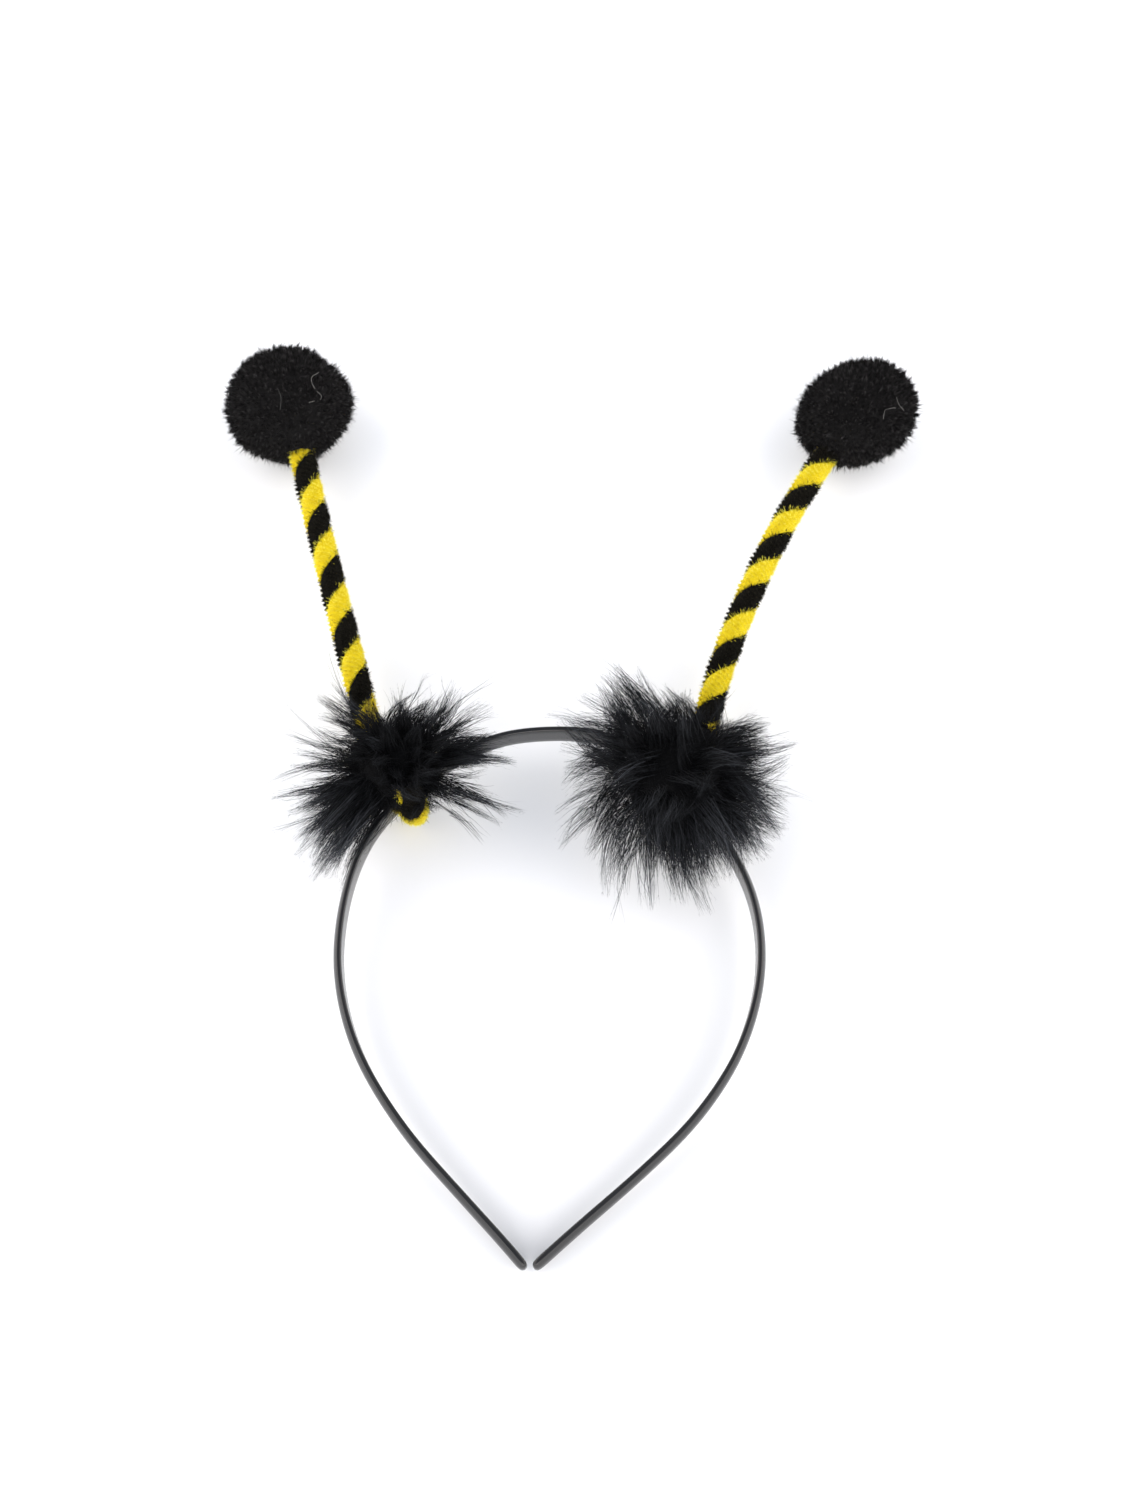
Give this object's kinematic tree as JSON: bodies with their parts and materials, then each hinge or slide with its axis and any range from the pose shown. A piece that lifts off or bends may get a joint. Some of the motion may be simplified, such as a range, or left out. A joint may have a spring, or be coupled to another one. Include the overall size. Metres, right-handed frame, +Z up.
{
  "type": "bee antenna headband",
  "caption": "Slim black plastic head hoop with striped chenille bee antennas that end in black pompoms, and a black marabou tuft round each root.",
  "frame": {"origin": "on the surface that the headband lies on, under the middle of its outline seen from above", "axes": "+X to the right antenna's side, +Y from the hoop's tips towards the antennas, +Z up from the surface that it lies on"},
  "size_m": [0.2084, 0.2712, 0.0338],
  "materials": {
    "hoop_plastic": "moulded black plastic with a soft satin gloss",
    "black_chenille": "dense short black pile on a wire core",
    "yellow_chenille": "dense short bright yellow pile on a wire core",
    "pompom_pile": "matte black felted pile with loose fibres",
    "marabou": "soft black marabou down with blue-grey fringes"
  },
  "bodies": {
    "root": {"headband": "hoop_plastic", "stem_black_left": "black_chenille", "stem_yellow_left": "yellow_chenille", "pompom_left": "pompom_pile", "feather_tuft_left": "marabou", "stem_black_right": "black_chenille", "stem_yellow_right": "yellow_chenille", "pompom_right": "pompom_pile", "feather_tuft_right": "marabou"}
  },
  "joints": []
}
